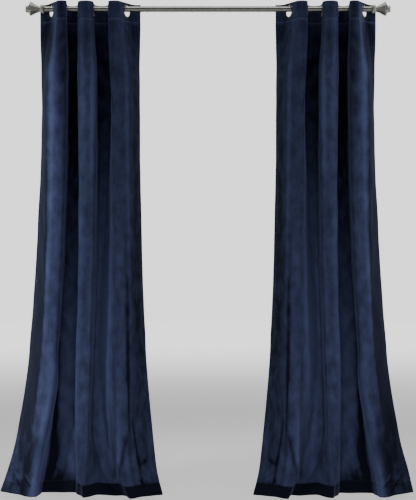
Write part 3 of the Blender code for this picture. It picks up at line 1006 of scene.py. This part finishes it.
def pewter(name, settings, stretch, dull=0, pale=1):
    """Dark satin pewter: cloudy tone, fine scratches and uneven polish.

    A dull metal is rougher by that number, and a pale one brighter by that share.
    """
    material, tree, shader = principled(name, Metallic=1.0)
    bright = scaled(settings.colour, pale)
    place = tree.nodes.new("ShaderNodeTexCoord").outputs["Object"]
    clouds = texture(tree, "ShaderNodeTexNoise", place, METAL_CLOUDS, Scale=1.0, Detail=4)
    scratches = texture(tree, "ShaderNodeTexNoise", place, stretch, Scale=1.0, Detail=3)
    tone = combine(tree, "MULTIPLY_ADD", scratches, SCRATCH_TONE, clouds)
    tone = combine(tree, "SUBTRACT", tone, TONE_DROP, clamp=True)
    colour = blend_colour(tree, tone, scaled(bright, METAL_DARK), bright)
    tree.links.new(colour, shader.inputs["Base Color"])
    polish = combine(tree, "MULTIPLY_ADD", clouds, CLOUD_DULLNESS, settings.roughness + dull)
    tree.links.new(polish, shader.inputs["Roughness"])
    bump(tree, scratches, SCRATCH_RELIEF, shader)
    return material


def stage_paint(settings):
    """Matt floor paint with a faint mottle, whose glow grows towards the floor's rim."""
    material, tree, shader = principled("stage paint", Roughness=0.9, Specular_IOR_Level=0.1)
    place = tree.nodes.new("ShaderNodeTexCoord").outputs["Object"]
    mottle = texture(tree, "ShaderNodeTexNoise", place, FLOOR_MOTTLE, Scale=1.0, Detail=2)
    pale = settings.floor_colour
    colour = blend_colour(tree, mottle, scaled(pale, FLOOR_DARK), pale)
    tree.links.new(colour, shader.inputs["Base Color"])
    shader.inputs["Emission Color"].default_value = (1, 1, 1, 1)
    distance = tree.nodes.new("ShaderNodeVectorMath")
    distance.operation = "LENGTH"
    tree.links.new(place, distance.inputs[0])
    levels = (settings.glow, settings.backdrop)
    glow = map_range(tree, distance.outputs["Value"], GLOW_REACH, levels)
    tree.links.new(glow, shader.inputs["Emission Strength"])
    return material


def studio_world(settings):
    """Pale surroundings: bright to the camera, dim as a light, and mirrored brighter overhead."""
    world = bpy.data.worlds.new("studio")
    world.use_nodes = True
    tree = world.node_tree
    background = tree.nodes["Background"]
    background.inputs["Color"].default_value = (1, 1, 1, 1)
    path = tree.nodes.new("ShaderNodeLightPath")
    direction = tree.nodes.new("ShaderNodeSeparateXYZ")
    tree.links.new(tree.nodes.new("ShaderNodeTexCoord").outputs["Generated"], direction.inputs[0])
    overhead = map_range(tree, direction.outputs["Z"], SHINE_REACH, (0, settings.shine))
    extra = settings.backdrop - settings.ambient
    strength = combine(tree, "MULTIPLY_ADD", path.outputs["Is Camera Ray"], extra, settings.ambient)
    strength = combine(tree, "MULTIPLY_ADD", path.outputs["Is Glossy Ray"], overhead, strength)
    tree.links.new(strength, background.inputs["Strength"])
    return world


class ClothSettings(bpy.types.PropertyGroup):
    """Sizes and colours of the velvet panels."""

    thickness: FloatProperty(
        name="Cloth thickness",
        description="Thickness of the velvet away from its hems",
        default=0.002,
        unit="LENGTH",
    )
    hem_extra: FloatProperty(
        name="Turned cloth",
        description="How much thicker the cloth is where its hem is turned to the back",
        default=0.0012,
        unit="LENGTH",
    )
    seam_depth: FloatProperty(
        name="Seam depth",
        description="How deep the stitches draw the pile in",
        default=0.0011,
        unit="LENGTH",
    )
    crease_strength: FloatProperty(
        name="Creases",
        description="Share of the creases' and swells' full height",
        default=1.0,
    )
    # the pale end of the pile's tone, which its random tone and the painted highlights reach
    # towards
    pile_colour: FloatVectorProperty(
        name="Pile",
        description="Colour of the pile where it is brushed up",
        subtype="COLOR",
        default=(0.050, 0.063, 0.140),
    )
    # the dark end of the pile's tone, which its random tone and the painted shade reach towards
    pile_shade_colour: FloatVectorProperty(
        name="Pile in shade",
        description="Colour of the pile where it lies flat",
        subtype="COLOR",
        default=(0.0030, 0.0040, 0.0110),
    )
    sheen_weight: FloatProperty(
        name="Sheen strength",
        description="How much light the pile catches at the folds' edges",
        default=0.25,
    )
    sheen_colour: FloatVectorProperty(
        name="Sheen",
        description="Tint of the light that the pile catches at the folds' edges",
        subtype="COLOR",
        default=(0.25, 0.30, 0.55),
    )
    sheen_roughness: FloatProperty(
        name="Sheen spread",
        description="How far the sheen reaches from the folds' edges",
        default=0.35,
    )
    back_colour: FloatVectorProperty(
        name="Back",
        description="Colour of the velvet's woven back",
        subtype="COLOR",
        default=(0.020, 0.026, 0.056),
    )
    thread_colour: FloatVectorProperty(
        name="Thread",
        description="Colour of the sewing thread",
        subtype="COLOR",
        default=(0.060, 0.075, 0.130),
    )


class MetalSettings(bpy.types.PropertyGroup):
    """Finish of the rod, finials and eyelets."""

    colour: FloatVectorProperty(
        name="Pewter",
        description="Colour of the metal where it is polished",
        subtype="COLOR",
        default=(0.235, 0.235, 0.220),
    )
    roughness: FloatProperty(
        name="Roughness",
        description="Least roughness of the metal",
        default=0.17,
    )
    segments: IntProperty(
        name="Segments",
        description="Steps round a ring and round the rod",
        default=64,
    )


class StageSettings(bpy.types.PropertyGroup):
    """Floor, surroundings and light."""

    floor_colour: FloatVectorProperty(
        name="Floor",
        description="Colour of the floor",
        subtype="COLOR",
        default=(0.85, 0.85, 0.84),
    )
    glow: FloatProperty(
        name="Floor glow",
        description="Light that the floor gives off in its middle, to stay pale",
        default=0.55,
    )
    backdrop: FloatProperty(
        name="Backdrop",
        description="Brightness of the surroundings, and of the floor's rim that meets them",
        default=1.7,
    )
    ambient: FloatProperty(
        name="Ambient",
        description="Strength of the surroundings as an even light from all round",
        default=0.06,
    )
    shine: FloatProperty(
        name="Overhead shine",
        description="How much brighter the surroundings overhead are where metal mirrors them",
        default=1.2,
    )
    left_power: FloatProperty(
        name="Left light",
        description="Power of the light on the left panel's outer side",
        default=9.5,
        unit="POWER",
    )
    right_power: FloatProperty(
        name="Right light",
        description="Power of the light on the right panel's outer side",
        default=3.2,
        unit="POWER",
    )
    front_power: FloatProperty(
        name="Front light",
        description="Power of the low light in front, which fills the folds' lower half",
        default=4.2,
        unit="POWER",
    )
    top_power: FloatProperty(
        name="Top light",
        description="Power of the long light above the rod",
        default=12.0,
        unit="POWER",
    )
    back_power: FloatProperty(
        name="Back light",
        description="Power of the wide light behind, which shows the panels' backs",
        default=14.0,
        unit="POWER",
    )


class CURTAINS_OT_panels(bpy.types.Operator):
    """Make the two velvet panels"""

    bl_idname = "curtains.panels"
    bl_label = "Velvet panels"

    def execute(self, context):
        settings = context.scene.curtain_cloth
        materials = (velvet(settings), woven_back(settings))
        for side in ("left", "right"):
            make_panel(side, settings, materials)
        return {"FINISHED"}


class CURTAINS_OT_stitches(bpy.types.Operator):
    """Sew the header, the side hems and the bottom hem of both panels"""

    bl_idname = "curtains.stitches"
    bl_label = "Sewing"

    def execute(self, context):
        settings = context.scene.curtain_cloth
        material = thread(settings)
        for side in ("left", "right"):
            stitches = make_stitches(side, settings, material)
        return {"FINISHED"}


class CURTAINS_OT_eyelets(bpy.types.Operator):
    """Make the metal eyelet rings of both panels"""

    bl_idname = "curtains.eyelets"
    bl_label = "Eyelet rings"

    def execute(self, context):
        settings = context.scene.curtain_metal
        material = pewter("pewter ring", settings, RING_SCRATCHES)
        profile = ring_profile()
        for side, direction in (("left", 1), ("right", -1)):
            for number, (out, angle) in enumerate(EYELETS):
                facing = -1 if number % 2 == 0 else 1
                turn = direction * facing * math.radians(angle) + math.pi / 2
                centre = (-direction * out, 0, -EYELET_DROP)
                name = f"ring_{side}_{number + 1}"
                ring = turned_piece(name, profile, settings.segments, material, turn, centre)
                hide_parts(f"eyelet_{side}_{number + 1}")
        return {"FINISHED"}


class CURTAINS_OT_rod(bpy.types.Operator):
    """Make the plain metal tube"""

    bl_idname = "curtains.rod"
    bl_label = "Rod"

    def execute(self, context):
        settings = context.scene.curtain_metal
        material = pewter("pewter tube", settings, ROD_SCRATCHES)
        inner = ROD_RADIUS - ROD_WALL
        places = np.linspace(ROD_HALF_LENGTH, -ROD_HALF_LENGTH, ROD_RINGS)
        outside = np.column_stack([places, np.full_like(places, ROD_RADIUS)])
        inside = ((-ROD_HALF_LENGTH, inner), (ROD_HALF_LENGTH, inner))
        profile = np.vstack([outside, inside])
        tube = turned_piece("tube", profile, 2 * settings.segments, material, 0, (0, 0, 0))
        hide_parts("rod")
        return {"FINISHED"}


class CURTAINS_OT_finials(bpy.types.Operator):
    """Make the two faceted finials"""

    bl_idname = "curtains.finials"
    bl_label = "Finials"

    def execute(self, context):
        settings = context.scene.curtain_metal
        material = pewter("pewter casting", settings, CASTING_SCRATCHES, dull=0.2, pale=1.7)
        for side in ("left", "right"):
            make_finial(side, material)
        return {"FINISHED"}


def soft_light(name, place, target, size, spread, power):
    """A long light that faces a target and shines within its spread, unseen by the camera."""
    light = bpy.data.lights.new(name, "AREA")
    light.shape = "RECTANGLE"
    light.size, light.size_y = size
    light.spread = math.radians(spread)
    light.energy = power
    item = bpy.data.objects.new(name, light)
    bpy.context.scene.collection.objects.link(item)
    item.visible_camera = False
    item.location = place
    item.rotation_euler = (Vector(target) - Vector(place)).to_track_quat("-Z", "Y").to_euler()


def make_floor(settings):
    """Level round floor just below the hems: the radius times cosine and sine of its turn."""
    turns = np.linspace(0, 2 * math.pi, FLOOR_SIDES, endpoint=False)
    low = np.full_like(turns, CAD_BOX[0].z - FLOOR_DROP)
    points = np.column_stack([FLOOR_RADIUS * np.cos(turns), FLOOR_RADIUS * np.sin(turns), low])
    mesh = bpy.data.meshes.new("floor")
    mesh.from_pydata(points, [], [range(len(turns))])
    mesh.materials.append(stage_paint(settings))
    floor = bpy.data.objects.new("floor", mesh)
    bpy.context.scene.collection.objects.link(floor)


def make_camera():
    """Level camera in front of the rod's middle, at the photograph's distance and height."""
    camera = bpy.data.cameras.new("camera")
    camera.sensor_width = SENSOR
    camera.lens = FOCAL_PIXELS * SENSOR / FRAME_HEIGHT
    item = bpy.data.objects.new("camera", camera)
    bpy.context.scene.collection.objects.link(item)
    drop = (CENTRE_ROW - ROD_ROW) * CAMERA_DISTANCE / FOCAL_PIXELS
    item.location = (0, -CAMERA_DISTANCE, -drop)
    item.rotation_euler = (math.pi / 2, 0, 0)
    bpy.context.scene.camera = item


class CURTAINS_OT_stage(bpy.types.Operator):
    """Make the pale floor and surroundings, the soft lights and the camera"""

    bl_idname = "curtains.stage"
    bl_label = "Stage"

    def execute(self, context):
        settings = context.scene.curtain_stage
        make_floor(settings)
        make_camera()
        powers = (
            settings.left_power,
            settings.right_power,
            settings.front_power,
            settings.top_power,
            settings.back_power,
        )
        for (name, place, target, size, spread), power in zip(LIGHTS, powers):
            soft_light(name, place, target, size, spread, power)
        context.scene.world = studio_world(settings)
        return {"FINISHED"}


OPERATORS = (
    CURTAINS_OT_rod,
    CURTAINS_OT_finials,
    CURTAINS_OT_eyelets,
    CURTAINS_OT_panels,
    CURTAINS_OT_stitches,
    CURTAINS_OT_stage,
)


class CURTAINS_PT_sidebar(bpy.types.Panel):
    """Steps and settings of the curtains"""

    bl_idname = "CURTAINS_PT_sidebar"
    bl_label = "Velvet curtains"
    bl_space_type = "VIEW_3D"
    bl_region_type = "UI"
    bl_category = "Curtains"

    def draw(self, context):
        for name in SETTINGS:
            settings = getattr(context.scene, name)
            box = self.layout.box()
            for field in settings.__annotations__:
                box.prop(settings, field)
        for operator in OPERATORS:
            self.layout.operator(operator.bl_idname)


SETTINGS = {
    "curtain_cloth": ClothSettings,
    "curtain_metal": MetalSettings,
    "curtain_stage": StageSettings,
}
CLASSES = tuple(SETTINGS.values()) + OPERATORS + (CURTAINS_PT_sidebar,)


def register():
    """Add the settings, the operators and the panel."""
    for item in CLASSES:
        bpy.utils.register_class(item)
    for name, settings in SETTINGS.items():
        setattr(bpy.types.Scene, name, PointerProperty(type=settings))


def unregister():
    """Take them away again."""
    for name in SETTINGS:
        delattr(bpy.types.Scene, name)
    for item in reversed(CLASSES):
        bpy.utils.unregister_class(item)


def main():
    """Make every piece and the stage."""
    register()
    bpy.ops.curtains.rod()
    bpy.ops.curtains.finials()
    bpy.ops.curtains.eyelets()
    bpy.ops.curtains.panels()
    bpy.ops.curtains.stitches()
    bpy.ops.curtains.stage()


if __name__ == "__main__":
    main()
